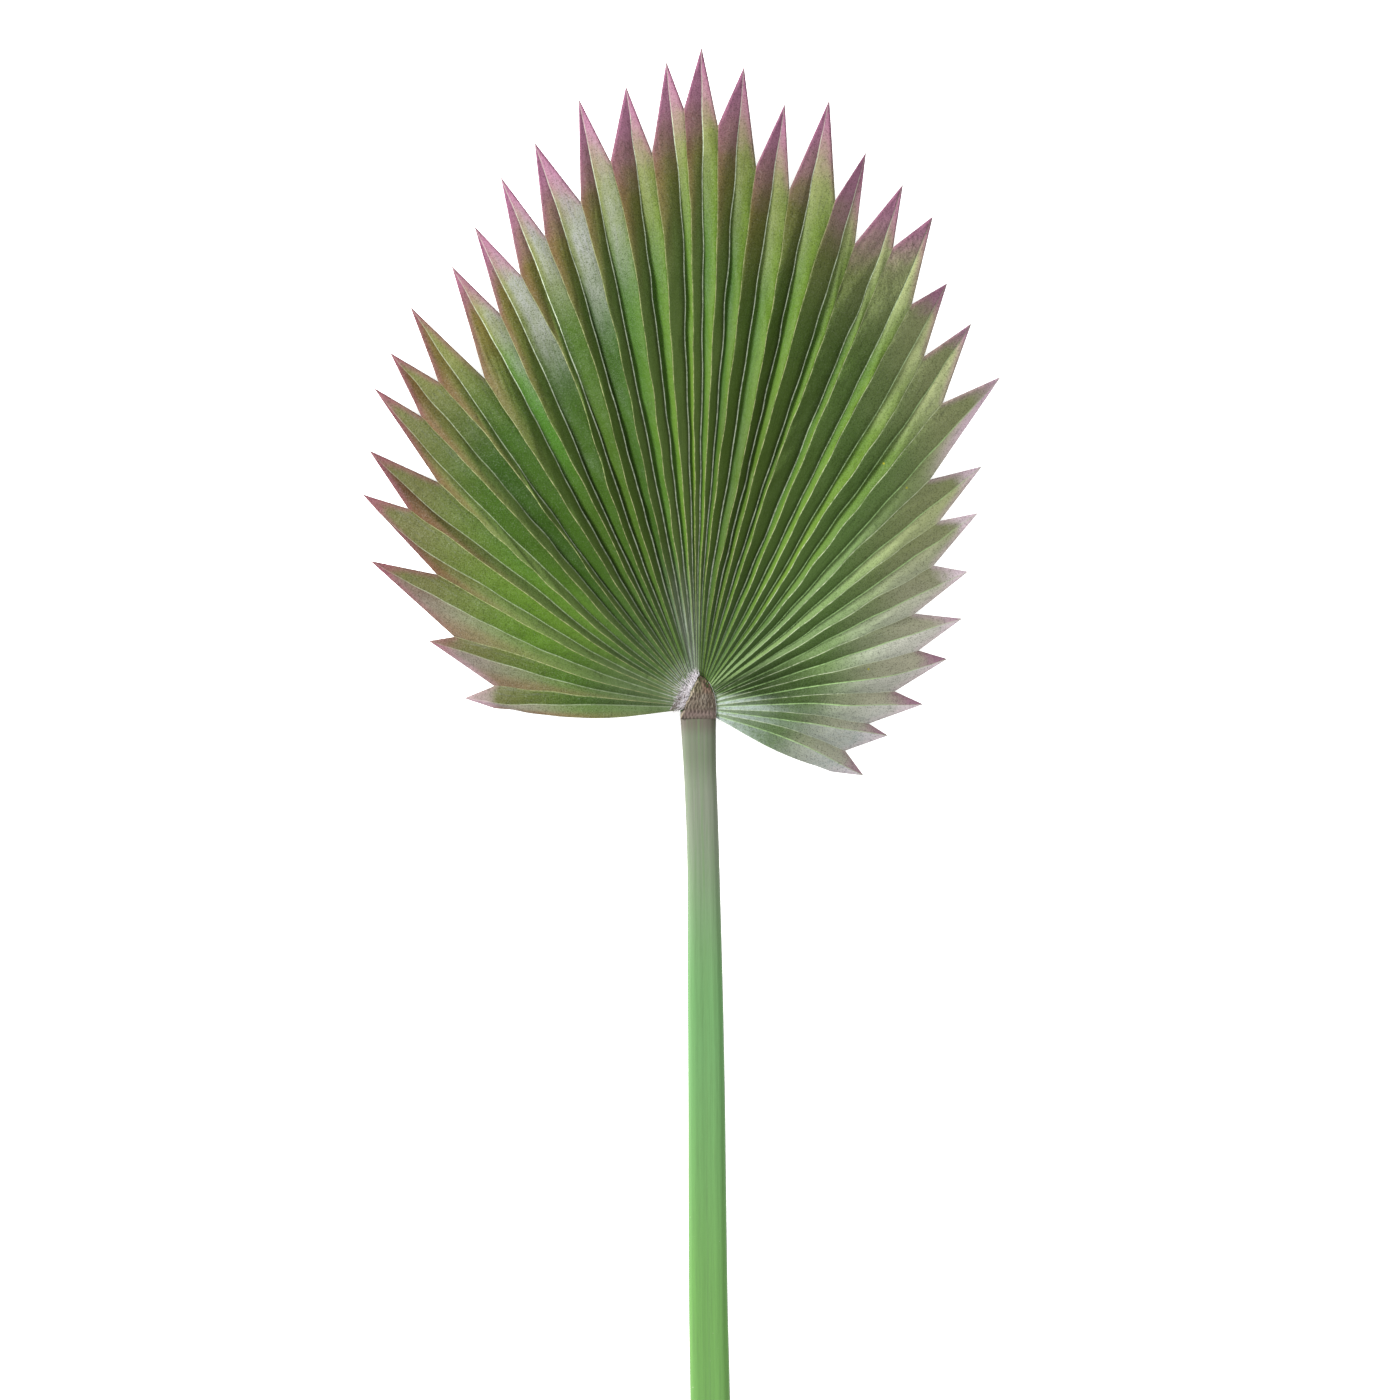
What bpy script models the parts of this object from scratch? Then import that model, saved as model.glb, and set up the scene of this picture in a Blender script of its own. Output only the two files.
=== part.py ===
"""A fan palm leaf, cut through its stalk and lying face up: a pleated blade of 33 segments
that ends in free pointed tips, the brown collar where the folds meet, and the stalk.

Plan lengths are in millimetres from the hub, the point that the folds fan out from. +Y runs from
the hub to the longest tip, +Z is up from the surface that the leaf lies on, and bearings are
degrees anticlockwise from +X. The finished leaf stands with its origin under the middle of its box.
"""

import math

import bmesh
import bpy
import numpy as np

MM = 0.001
GAP = 0.3  # between pieces that meet

# Every fold of the blade, clockwise from the lower left margin: crest, rib, crest, rib, ... crest.
# Each is (reach, bearings): how far from the hub it ends, then its bearing at each ring that it
# crosses and, last, at its end. A rib runs along the valley of a segment to the segment's tip, and
# a crest runs between two segments to the notch that parts them.
RINGS = (66, 132, 231, 297)
FOLDS = (
    (134, (195.6, 184.8)),
    (154, (187.6, 183.4, 181.7)),
    (134, (183.4, 178.5)),
    (180, (179.0, 171.9, 169.4)),
    (164, (174.4, 168.2, 167.4)),
    (232, (169.3, 163.2, 158.3)),
    (188, (164.4, 158.3, 155.9)),
    (256, (160.6, 154.7, 151.3, 149.6)),
    (225, (156.5, 150.3, 147.8)),
    (268, (153.4, 147.5, 145.1, 143.8)),
    (219, (149.7, 143.9, 141.2)),
    (292, (146.3, 141.3, 138.6, 136.9)),
    (256, (142.3, 137.2, 135.2)),
    (301, (139.2, 134.8, 132.8, 132.3)),
    (265, (135.6, 131.0, 129.7, 130.0)),
    (316, (133.2, 129.9, 127.9, 126.8)),
    (248, (129.0, 125.6, 124.3)),
    (323, (125.9, 123.0, 120.6, 120.1)),
    (280, (122.6, 119.3, 118.4, 117.7)),
    (339, (120.0, 117.7, 115.8, 115.7)),
    (297, (116.9, 114.2, 111.8, 113.1)),
    (362, (114.2, 112.0, 110.8, 110.8, 111.0)),
    (315, (111.0, 109.1, 107.6, 108.6)),
    (376, (107.8, 106.6, 106.1, 106.1, 106.6)),
    (330, (104.8, 103.8, 103.0, 103.3, 103.5)),
    (397, (101.9, 101.5, 101.4, 101.4, 101.4)),
    (352, (99.1, 98.9, 98.5, 98.6, 99.4)),
    (400, (96.6, 96.5, 96.5, 96.6, 96.8)),
    (354, (94.1, 94.3, 94.5, 94.3, 94.9)),
    (414, (92.6, 92.1, 92.1, 91.9, 92.9)),
    (382, (91.3, 90.9, 90.8, 90.8, 91.4)),
    (423, (90.1, 89.4, 89.3, 89.4, 89.7)),
    (371, (88.8, 88.0, 87.6, 87.6, 88.0)),
    (411, (87.6, 86.4, 86.0, 86.0, 85.8)),
    (346, (86.2, 84.8, 84.0, 83.9, 83.7)),
    (390, (83.8, 82.1, 81.8, 81.7, 81.6)),
    (334, (80.8, 79.1, 79.1, 79.3, 79.7)),
    (398, (78.2, 77.4, 77.1, 77.3, 77.5)),
    (334, (75.6, 75.4, 75.0, 74.8, 74.4)),
    (371, (72.4, 72.4, 72.1, 72.3, 72.7)),
    (311, (70.0, 71.0, 70.5, 70.7)),
    (359, (66.2, 66.8, 67.2, 67.3, 68.0)),
    (318, (63.2, 65.2, 66.0, 66.3)),
    (348, (59.4, 61.8, 62.7, 63.1, 63.7)),
    (290, (56.4, 59.7, 61.0, 61.1)),
    (314, (53.0, 56.6, 57.6, 58.6)),
    (265, (50.4, 54.4, 55.1, 56.0)),
    (301, (47.0, 50.9, 52.4, 53.4)),
    (248, (44.2, 48.3, 49.7)),
    (287, (40.3, 44.3, 45.8, 46.1)),
    (206, (37.4, 41.6, 42.4)),
    (238, (33.9, 37.7, 38.4)),
    (194, (30.9, 34.8, 35.2)),
    (218, (26.8, 31.0, 32.5)),
    (175, (23.6, 27.6, 28.1)),
    (194, (19.0, 23.4, 23.9)),
    (151, (15.4, 19.3, 19.7)),
    (180, (10.7, 14.6, 15.4)),
    (147, (6.6, 10.0, 10.5)),
    (165, (1.6, 5.0, 7.4)),
    (129, (-2.8, 0.0)),
    (148, (-7.1, -4.0, -3.3)),
    (114, (-12.5, -10.7)),
    (128, (-17.3, -13.1)),
    (104, (-22.3, -22.0)),
    (122, (-28.0, -27.0)),
    (102, (-37.0, -31.2)),
)

# The folds start on an arch round the collar: part of an ellipse about a point behind the hub.
ARCH_BACK = 11.9
ARCH_HALF_WIDTH = 11.9
ARCH_RISE = 22.4
ARCH_TURN = 104  # degrees of the ellipse to each side of its top
MARGIN_BEARING = 124  # of the outermost folds at the first ring, from straight ahead
ARCH_CROWDING = 0.8  # below 1 the middle folds start further apart

STATIONS = (0, 0.04, 0.09, 0.15, 0.22, 0.30, 0.39, 0.48, 0.58, 0.68, 0.78, 0.87, 0.94, 1)

# Heights of the blade
BLADE_THICK = 1.3  # measured straight down through the sloping blade
HUB_TOP = 23.0  # the valleys where they leave the collar
RIB_ARCH = 8.0  # a rib rises by this much midway
TIP_DROOP = 10.0
CREST_SLOPE = 1.15  # rise over run of the facets in the middle of the fan
MARGIN_SLOPE = 0.55  # and at its two margins
STEEPEST = 1.5  # of any one facet
CREST_START = 0.35  # part of the full crest that is there at the collar
CREST_END = 0.62  # and at the notch
CREST_FULL = (0.25, 0.70)  # stretch of a fold that has its full crest

RIB_HALF_WIDTH = 0.9
RIB_TIP_HALF_WIDTH = 0.35
RIB_SHARE = 0.28  # the most of a facet that a rib's side may take
RIB_RAISE = 0.45
RIB_KEEL = 0.9

# The sides of the blade droop to the surface, starting this far from the midline.
DROOP_START = 40.0
DROOP_SPAN = 180.0

# Stalk, as (y, middle x, width) along its length from the cut end to the collar
STALK = (
    (-510, 8.6, 26.8), (-470, 8.0, 26.4), (-403, 6.6, 25.7), (-336, 6.0, 25.1),
    (-271, 5.6, 24.4), (-220, 5.0, 23.7), (-172, 4.3, 22.8), (-139, 3.9, 21.7),
    (-106, 3.3, 21.2), (-73, 2.1, 21.4), (-40, 0.7, 21.8), (-18, 0.0, 23.4),
)
STALK_DEEP = (18.0, 17.0)  # at the cut end and at the collar
STALK_LIFT = 8.0  # underside at the collar above the surface
FLAT_SPOT_END = -470
TOP_SHARE = 0.36  # part of the depth that is above the widest line
TOP_CREASE = 0.5
UNDERSIDE_CUT = 0.86  # the round underside is flat below this part of its depth
RIM_POINTS = 24

# The stalk runs on below the blade as a tongue: (y, part of its width, underside height)
TONGUE_TOP = 17.0
TONGUE = ((-9, 0.90, 8.9), (1, 0.70, 10.6), (11, 0.46, 12.6), (21, 0.20, 14.8))
CORE_FLAT = 30.0  # the blade is flat below out to here, over the tongue
CORE_END = 58.0

# Collar
COLLAR_GAP = 0.65
COLLAR_FOOT = -17.6
COLLAR_RIM = 24.0
COLLAR_DOME = 2.6
COLLAR_WRINKLE = 0.45
COLLAR_WRINKLES = 9
COLLAR_LIP = 0.8  # raised band along the foot
COLLAR_RINGS = (1.0, 0.93, 0.82, 0.66, 0.46, 0.24)


def smooth(x):
    x = min(1.0, max(0.0, x))
    return x * x * (3 - 2 * x)


def mix(a, b, t):
    return a + (b - a) * t


def polar(reach, bearing):
    a = math.radians(bearing)
    return np.array((reach * math.cos(a), reach * math.sin(a)))


def arch_point(bearing, inset=0.0):
    """Point on the arch that a fold with this bearing at the first ring starts from."""
    turn = (bearing - 90) / MARGIN_BEARING
    turn = math.copysign(min(1.0, abs(turn)) ** ARCH_CROWDING, turn)
    a = math.radians(90 + ARCH_TURN * turn)
    x = (ARCH_HALF_WIDTH - inset) * math.cos(a)
    y = (ARCH_RISE - inset) * math.sin(a) - ARCH_BACK
    return np.array((x, y))


def fold_line(fold):
    """Plan points at the stations of a smooth curve from the arch to the fold's end."""
    reach, bearings = fold
    knots = [arch_point(bearings[0])]
    knots += [polar(ring, b) for ring, b in zip(RINGS, bearings[:-1])]
    knots.append(polar(reach, bearings[-1]))
    knots = np.array(knots)
    steps = np.diff(knots, axis=0)
    lengths = np.linalg.norm(steps, axis=1)
    slopes = steps / lengths[:, None]
    tangents = [slopes[0]]
    for k in range(1, len(lengths)):
        before, after = lengths[k - 1], lengths[k]
        tangents.append((slopes[k - 1] * after + slopes[k] * before) / (before + after))
    tangents.append(slopes[-1])
    marks = np.concatenate(([0.0], np.cumsum(lengths)))
    points = []
    for station in STATIONS:
        d = station * marks[-1]
        k = min(int(np.searchsorted(marks, d, side="right")) - 1, len(lengths) - 1)
        t = (d - marks[k]) / lengths[k]
        points.append(
            (2 * t ** 3 - 3 * t ** 2 + 1) * knots[k]
            + (t ** 3 - 2 * t ** 2 + t) * lengths[k] * tangents[k]
            + (3 * t ** 2 - 2 * t ** 3) * knots[k + 1]
            + (t ** 3 - t ** 2) * lengths[k] * tangents[k + 1])
    return np.array(points)


def distance(point, line):
    """Plan distance from a point to a fold."""
    starts, steps = line[:-1], np.diff(line, axis=0)
    along = ((point - starts) * steps).sum(axis=1) / (steps ** 2).sum(axis=1)
    nearest = starts + steps * np.clip(along, 0, 1)[:, None]
    return np.linalg.norm(nearest - point, axis=1).min()


def crest_share(station):
    start, end = CREST_FULL
    if station < start:
        return mix(CREST_START, 1.0, smooth(station / start))
    return mix(1.0, CREST_END, smooth((station - end) / (1 - end)))


def crest_slope(bearing):
    away = abs(bearing - 90) / MARGIN_BEARING
    return mix(CREST_SLOPE, MARGIN_SLOPE, smooth((away - 0.15) / 0.7))


def blade_columns():
    """Columns of (x, y, top, bottom) at the stations, before the sides droop."""
    lines = [fold_line(fold) for fold in FOLDS]
    rows = range(len(STATIONS))

    def valley(k):
        s = STATIONS[k]
        return HUB_TOP + RIB_ARCH * math.sin(math.pi * s) - TIP_DROOP * s * s

    def crest(i, k):
        widths = [distance(lines[i][k], lines[j])
                  for j in (i - 1, i + 1) if 0 <= j < len(lines)]
        rise = crest_slope(FOLDS[i][1][0]) * sum(widths) / len(widths)
        return valley(k) + crest_share(STATIONS[k]) * min(rise, STEEPEST * min(widths))

    def column(side, k, share, raised, keel):
        """A place on the facet from rib to crest: share 0 is the rib, 1 the crest."""
        rib, line = side
        x, y = mix(lines[rib][k], lines[line][k], share)
        skin = mix(valley(k), crest(line, k), share)
        top = skin + raised
        bottom = skin - BLADE_THICK - keel
        out = smooth((math.hypot(x, y) - CORE_FLAT) / (CORE_END - CORE_FLAT))
        return x, y, top, mix(TONGUE_TOP + GAP, bottom, out)

    columns = []
    for rib in range(1, len(lines), 2):
        sides = ((rib, rib - 1), (rib, rib + 1))
        shares = []
        for side in sides:
            share = []
            for k in rows:
                wide = np.linalg.norm(lines[side[0]][k] - lines[side[1]][k])
                half = mix(RIB_HALF_WIDTH, RIB_TIP_HALF_WIDTH, STATIONS[k])
                share.append(min(RIB_SHARE, half / wide))
            shares.append(share)
        if rib == 1:
            columns.append([column(sides[0], k, 1.0, 0, 0) for k in rows])
        columns.append([column(sides[0], k, shares[0][k], 0, 0) for k in rows])
        columns.append([column(sides[0], k, 0.0, RIB_RAISE, RIB_KEEL) for k in rows])
        columns.append([column(sides[1], k, shares[1][k], 0, 0) for k in rows])
        columns.append([column(sides[1], k, 1.0, 0, 0) for k in rows])
    return np.array(columns)


def droop_sides(columns):
    """Lower each side, more the further out, until one point of it comes down to the surface."""
    x = columns[..., 0]
    reach = (np.maximum(0.0, np.abs(x) - DROOP_START) / DROOP_SPAN) ** 2
    for side in (x < -DROOP_START, x > DROOP_START):
        drop = (columns[..., 3][side] / reach[side]).min()
        columns[..., 2][side] -= drop * reach[side]
        columns[..., 3][side] -= drop * reach[side]
    return columns


def blade_mesh():
    columns = droop_sides(blade_columns())
    count, rows = columns.shape[:2]
    verts = [tuple(p[[0, 1, 2]]) for c in columns for p in c]
    verts += [tuple(p[[0, 1, 3]]) for c in columns for p in c]
    low = count * rows

    def at(i, k):
        return i * rows + k

    faces = []
    for i in range(count - 1):
        for k in range(rows - 1):
            a, b, c, d = at(i, k), at(i + 1, k), at(i + 1, k + 1), at(i, k + 1)
            # Both faces of the blade are split along the same diagonal.
            for tri in ((a, b, c), (a, c, d)) if i % 4 < 2 else ((a, b, d), (b, c, d)):
                faces.append(tri)
                faces.append(tuple(v + low for v in reversed(tri)))
    rim = [at(i, 0) for i in range(count)]
    rim += [at(count - 1, k) for k in range(1, rows)]
    rim += [at(i, rows - 1) for i in range(count - 2, -1, -1)]
    rim += [at(0, k) for k in range(rows - 2, 0, -1)]
    for a, b in zip(rim, rim[1:] + rim[:1]):
        faces.append((a, a + low, b + low))
        faces.append((a, b + low, b))
    return verts, faces


def stalk_section(y, middle, width, deep, under, squash=1.0):
    """One outline of the stalk: a low top with a shallow crease, and a round underside."""
    top = deep * TOP_SHARE
    belly = deep - top
    points = []
    for k in range(RIM_POINTS):
        a = 2 * math.pi * k / RIM_POINTS
        x = middle + squash * width / 2 * math.cos(a)
        if math.sin(a) >= 0:
            z = top * math.sin(a) ** 0.8 - TOP_CREASE * max(0.0, 1 - 4 * abs(math.cos(a)))
        else:
            z = max(belly * math.sin(a), -belly * UNDERSIDE_CUT) / UNDERSIDE_CUT
        points.append((x, y, under + belly + z))
    return points


def stalk_mesh():
    first, last = STALK[0][0], STALK[-1][0]
    rings = []
    for y, middle, width in STALK:
        along = (y - first) / (last - first)
        lift = STALK_LIFT * smooth((y - FLAT_SPOT_END) / (last - FLAT_SPOT_END))
        rings.append(stalk_section(y, middle, width, mix(*STALK_DEEP, along), lift))
    shoulder = rings[-1]
    rings.append([(x, y, min(z, TONGUE_TOP)) for x, y, z in shoulder])
    for y, part, under in TONGUE:
        middle, width = STALK[-1][1:]
        deep = (TONGUE_TOP - under) / (1 - TOP_SHARE) * 1.02
        ring = stalk_section(y, middle, width, deep, under, part)
        rings.append([(x, y, min(z, TONGUE_TOP)) for x, y, z in ring])
    verts = [p for ring in rings for p in ring]
    faces = []
    n = RIM_POINTS
    for r in range(len(rings) - 1):
        for k in range(n):
            j = (k + 1) % n
            a, b = r * n + k, r * n + j
            faces.append((a, a + n, b + n))
            faces.append((a, b + n, b))
    for ring, front in ((0, True), (len(rings) - 1, False)):
        middle = np.mean(rings[ring], axis=0)
        verts.append(tuple(middle))
        hub = len(verts) - 1
        for k in range(n):
            a, b = ring * n + k, ring * n + (k + 1) % n
            faces.append((hub, a, b) if front else (hub, b, a))
    return verts, faces


def collar_mesh():
    """A low dome inside the arch, wrinkled towards its point, with a band along its foot."""
    outline = [arch_point(90 + b, COLLAR_GAP) for b in np.linspace(112, -112, 31)]
    right, left = outline[-1], outline[0]
    outline += [np.array((mix(right[0], left[0], t), COLLAR_FOOT)) for t in
                (0.0, 0.17, 0.33, 0.5, 0.67, 0.83, 1.0)]
    centre = np.array((0.0, -6.0))
    n = len(outline)
    verts = [(x, y, TONGUE_TOP + GAP) for x, y in outline]
    for ring in COLLAR_RINGS:
        for k, point in enumerate(outline):
            x, y = mix(centre, point, ring)
            wave = math.cos(2 * math.pi * COLLAR_WRINKLES * k / n) * (1 - ring) * ring * 4
            lip = COLLAR_LIP * smooth((-11.0 - y) / 4.0)
            edge = 0.5 * smooth((ring - 0.9) / 0.1)
            z = COLLAR_RIM + COLLAR_DOME * (1 - ring ** 2) + COLLAR_WRINKLE * wave + lip - edge
            verts.append((x, y, z))
    verts.append((*centre, COLLAR_RIM + COLLAR_DOME))
    faces = []
    for r in range(len(COLLAR_RINGS)):
        for k in range(n):
            a, b = r * n + k, r * n + (k + 1) % n
            faces.append((a, a + n, b + n))
            faces.append((a, b + n, b))
    peak = len(verts) - 1
    top = len(COLLAR_RINGS) * n
    for k in range(n):
        faces.append((peak, top + (k + 1) % n, top + k))
    faces.append(tuple(range(n)))
    return verts, faces


def material(name, colour, roughness):
    made = bpy.data.materials.new(name)
    made.use_nodes = True
    shader = made.node_tree.nodes["Principled BSDF"]
    shader.inputs["Base Color"].default_value = (*colour, 1.0)
    shader.inputs["Roughness"].default_value = roughness
    return made


def add_part(name, verts, faces, made, shift, smooth_angle):
    mesh = bpy.data.meshes.new(name)
    mesh.from_pydata([tuple((np.array(v) + shift) * MM) for v in verts], [], faces)
    work = bmesh.new()
    work.from_mesh(mesh)
    bmesh.ops.remove_doubles(work, verts=work.verts, dist=0.002 * MM)
    bmesh.ops.triangulate(work, faces=work.faces)
    bmesh.ops.recalc_face_normals(work, faces=work.faces)
    for edge in work.edges:
        edge.smooth = edge.calc_face_angle(math.pi) < math.radians(smooth_angle)
    for face in work.faces:
        face.smooth = True
    work.to_mesh(mesh)
    work.free()
    mesh.materials.append(made)
    item = bpy.data.objects.new(name, mesh)
    bpy.context.scene.collection.objects.link(item)
    return item


def main():
    for item in list(bpy.data.objects):
        bpy.data.objects.remove(item, do_unlink=True)
    blade, stalk, collar = blade_mesh(), stalk_mesh(), collar_mesh()
    points = np.array([v for verts, _ in (blade, stalk, collar) for v in verts])
    low, high = points.min(axis=0), points.max(axis=0)
    shift = np.array((-(low[0] + high[0]) / 2, -(low[1] + high[1]) / 2, 0.0))
    add_part("blade", *blade, material("leaf_green", (0.10, 0.22, 0.05), 0.45), shift, 12)
    add_part("stalk", *stalk, material("stalk_green", (0.24, 0.40, 0.16), 0.5), shift, 50)
    add_part("collar", *collar, material("collar_brown", (0.16, 0.12, 0.08), 0.8), shift, 40)


main()
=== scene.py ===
import math

import bpy
import numpy as np
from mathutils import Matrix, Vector


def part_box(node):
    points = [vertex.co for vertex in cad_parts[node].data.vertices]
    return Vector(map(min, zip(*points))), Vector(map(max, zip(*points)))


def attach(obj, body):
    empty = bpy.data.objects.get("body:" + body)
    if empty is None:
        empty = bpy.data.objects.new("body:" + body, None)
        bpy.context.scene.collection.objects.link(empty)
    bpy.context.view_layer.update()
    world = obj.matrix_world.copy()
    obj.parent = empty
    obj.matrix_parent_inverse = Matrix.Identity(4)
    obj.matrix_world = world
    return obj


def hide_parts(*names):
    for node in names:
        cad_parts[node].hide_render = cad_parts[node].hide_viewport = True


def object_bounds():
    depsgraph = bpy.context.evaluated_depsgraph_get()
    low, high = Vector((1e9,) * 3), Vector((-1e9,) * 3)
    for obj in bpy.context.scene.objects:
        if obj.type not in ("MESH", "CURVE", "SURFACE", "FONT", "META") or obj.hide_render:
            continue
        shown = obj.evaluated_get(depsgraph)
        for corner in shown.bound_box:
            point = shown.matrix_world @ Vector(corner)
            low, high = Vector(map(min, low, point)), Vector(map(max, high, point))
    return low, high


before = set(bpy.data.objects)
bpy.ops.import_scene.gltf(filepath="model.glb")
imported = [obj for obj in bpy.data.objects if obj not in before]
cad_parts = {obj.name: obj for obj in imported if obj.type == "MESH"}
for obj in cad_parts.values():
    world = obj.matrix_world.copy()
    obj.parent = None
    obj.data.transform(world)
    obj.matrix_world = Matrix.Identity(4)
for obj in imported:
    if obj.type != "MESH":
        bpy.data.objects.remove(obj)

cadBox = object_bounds()
mm = 0.001
photoScale = 0.66  # mm for each pixel of the photo
print("frame loaded")


# small helpers

def smooth(x):
    x = np.clip(x, 0.0, 1.0)
    return x * x * (3 - 2 * x)


def mix(a, b, t):
    return a + (b - a) * t


def onCircle(reach, bearing):
    a = math.radians(bearing)
    return np.array((reach * math.cos(a), reach * math.sin(a)))


def waves(x, y, seed, length, count=6):
    # a few crossed sine waves make soft, repeatable unevenness, from about -1 to 1
    rng = np.random.RandomState(seed)
    total = np.zeros_like(x)
    for _ in range(count):
        a = rng.uniform(0, 2 * math.pi)
        k = 2 * math.pi / (length * rng.uniform(0.6, 1.5))
        total += np.sin(k * (x * math.cos(a) + y * math.sin(a)) + rng.uniform(0, 2 * math.pi))
    return total / math.sqrt(count)


def makePiece(name, points, faces, material, node, marks=None):
    mesh = bpy.data.meshes.new(name)
    mesh.from_pydata([tuple(p) for p in np.asarray(points) * mm], [], faces)
    mesh.polygons.foreach_set("use_smooth", [True] * len(mesh.polygons))
    for label, values in (marks or {}).items():
        layer = mesh.attributes.new(label, "FLOAT", "POINT")
        layer.data.foreach_set("value", np.asarray(values, dtype=np.float32).ravel())
    mesh.update()
    piece = bpy.data.objects.new(name, mesh)
    bpy.context.scene.collection.objects.link(piece)
    mesh.materials.append(material)
    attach(piece, "root")
    if node:
        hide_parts(node)
    return piece


# folds of the blade, clockwise from the lower left margin: crest, rib, crest, rib, ... crest
# each is how far from the hub it ends in mm, then its bearing at each ring and at its end
rings = (66, 132, 231, 297)
folds = (
    (134, (195.6, 184.8)),
    (154, (187.6, 183.4, 181.7)),
    (134, (183.4, 178.5)),
    (180, (179.0, 171.9, 169.4)),
    (164, (174.4, 168.2, 167.4)),
    (232, (169.3, 163.2, 158.3)),
    (188, (164.4, 158.3, 155.9)),
    (256, (160.6, 154.7, 151.3, 149.6)),
    (225, (156.5, 150.3, 147.8)),
    (268, (153.4, 147.5, 145.1, 143.8)),
    (219, (149.7, 143.9, 141.2)),
    (292, (146.3, 141.3, 138.6, 136.9)),
    (256, (142.3, 137.2, 135.2)),
    (301, (139.2, 134.8, 132.8, 132.3)),
    (265, (135.6, 131.0, 129.7, 130.0)),
    (316, (133.2, 129.9, 127.9, 126.8)),
    (248, (129.0, 125.6, 124.3)),
    (323, (125.9, 123.0, 120.6, 120.1)),
    (280, (122.6, 119.3, 118.4, 117.7)),
    (339, (120.0, 117.7, 115.8, 115.7)),
    (297, (116.9, 114.2, 111.8, 113.1)),
    (362, (114.2, 112.0, 110.8, 110.8, 111.0)),
    (315, (111.0, 109.1, 107.6, 108.6)),
    (376, (107.8, 106.6, 106.1, 106.1, 106.6)),
    (330, (104.8, 103.8, 103.0, 103.3, 103.5)),
    (397, (101.9, 101.5, 101.4, 101.4, 101.4)),
    (352, (99.1, 98.9, 98.5, 98.6, 99.4)),
    (400, (96.6, 96.5, 96.5, 96.6, 96.8)),
    (354, (94.1, 94.3, 94.5, 94.3, 94.9)),
    (414, (92.6, 92.1, 92.1, 91.9, 92.9)),
    (382, (91.3, 90.9, 90.8, 90.8, 91.4)),
    (423, (90.1, 89.4, 89.3, 89.4, 89.7)),
    (371, (88.8, 88.0, 87.6, 87.6, 88.0)),
    (411, (87.6, 86.4, 86.0, 86.0, 85.8)),
    (346, (86.2, 84.8, 84.0, 83.9, 83.7)),
    (390, (83.8, 82.1, 81.8, 81.7, 81.6)),
    (334, (80.8, 79.1, 79.1, 79.3, 79.7)),
    (398, (78.2, 77.4, 77.1, 77.3, 77.5)),
    (334, (75.6, 75.4, 75.0, 74.8, 74.4)),
    (371, (72.4, 72.4, 72.1, 72.3, 72.7)),
    (311, (70.0, 71.0, 70.5, 70.7)),
    (359, (66.2, 66.8, 67.2, 67.3, 68.0)),
    (318, (63.2, 65.2, 66.0, 66.3)),
    (348, (59.4, 61.8, 62.7, 63.1, 63.7)),
    (290, (56.4, 59.7, 61.0, 61.1)),
    (314, (53.0, 56.6, 57.6, 58.6)),
    (265, (50.4, 54.4, 55.1, 56.0)),
    (301, (47.0, 50.9, 52.4, 53.4)),
    (248, (44.2, 48.3, 49.7)),
    (287, (40.3, 44.3, 45.8, 46.1)),
    (206, (37.4, 41.6, 42.4)),
    (238, (33.9, 37.7, 38.4)),
    (194, (30.9, 34.8, 35.2)),
    (218, (26.8, 31.0, 32.5)),
    (175, (23.6, 27.6, 28.1)),
    (194, (19.0, 23.4, 23.9)),
    (151, (15.4, 19.3, 19.7)),
    (180, (10.7, 14.6, 15.4)),
    (147, (6.6, 10.0, 10.5)),
    (165, (1.6, 5.0, 7.4)),
    (129, (-2.8, 0.0)),
    (148, (-7.1, -4.0, -3.3)),
    (114, (-12.5, -10.7)),
    (128, (-17.3, -13.1)),
    (104, (-22.3, -22.0)),
    (122, (-28.0, -27.0)),
    (102, (-37.0, -31.2)),
)

blade = dict(
    rows=68, rowCrowding=1.12,  # rows of points from hub to tip, a little closer together at the hub
    # the folds start on an arch round the hub, mm and degrees
    archBack=11.9, archHalfWidth=11.9, archRise=22.4, archTurn=104,
    marginBearing=124, archCrowding=0.8,
    thick=0.8,  # straight down, mm
    hubTop=23.0, ribArch=8.0, tipDroop=10.0,  # height of the ribs, mm
    crestSlope=1.15, marginSlope=0.55, steepest=1.5,  # slope of the facets up to their crests
    crestStart=0.35, crestEnd=0.62, crestFrom=0.25, crestTo=0.70,  # shallower at both ends
    ribHalfWidth=0.58, ribTipHalfWidth=0.34, ribShare=0.2, ribRaise=0.08, ribKeel=0.8,
    stray=0.32, strayLength=34.0,  # how far the folds wander sideways, mm
    strayFrom=25.0, strayFade=60.0, strayEnd=14.0,  # they start and end where they were measured
    crestRound=0.4, crestLine=0.32, crestBand=1.6,  # radius, pale half and finer points of a crest, mm
    bow=0.10,  # facets belly upwards by this part of their rise
    ripple=0.3, rippleLength=26.0,  # uneven surface, mm
    droopStart=40.0, droopSpan=180.0,  # how far to the side the blade starts to droop, mm
    underHub=17.3, coreFlat=30.0, coreEnd=58.0,  # solid and flat underneath round the hub, mm
    veins=6.0,  # streaks across a facet
)


def archPoint(bearing, inset=0.0):
    turn = (bearing - 90) / blade["marginBearing"]
    turn = math.copysign(min(1.0, abs(turn)) ** blade["archCrowding"], turn)
    a = math.radians(90 + blade["archTurn"] * turn)
    return np.array(((blade["archHalfWidth"] - inset) * math.cos(a),
                     (blade["archRise"] - inset) * math.sin(a) - blade["archBack"]))


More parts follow.
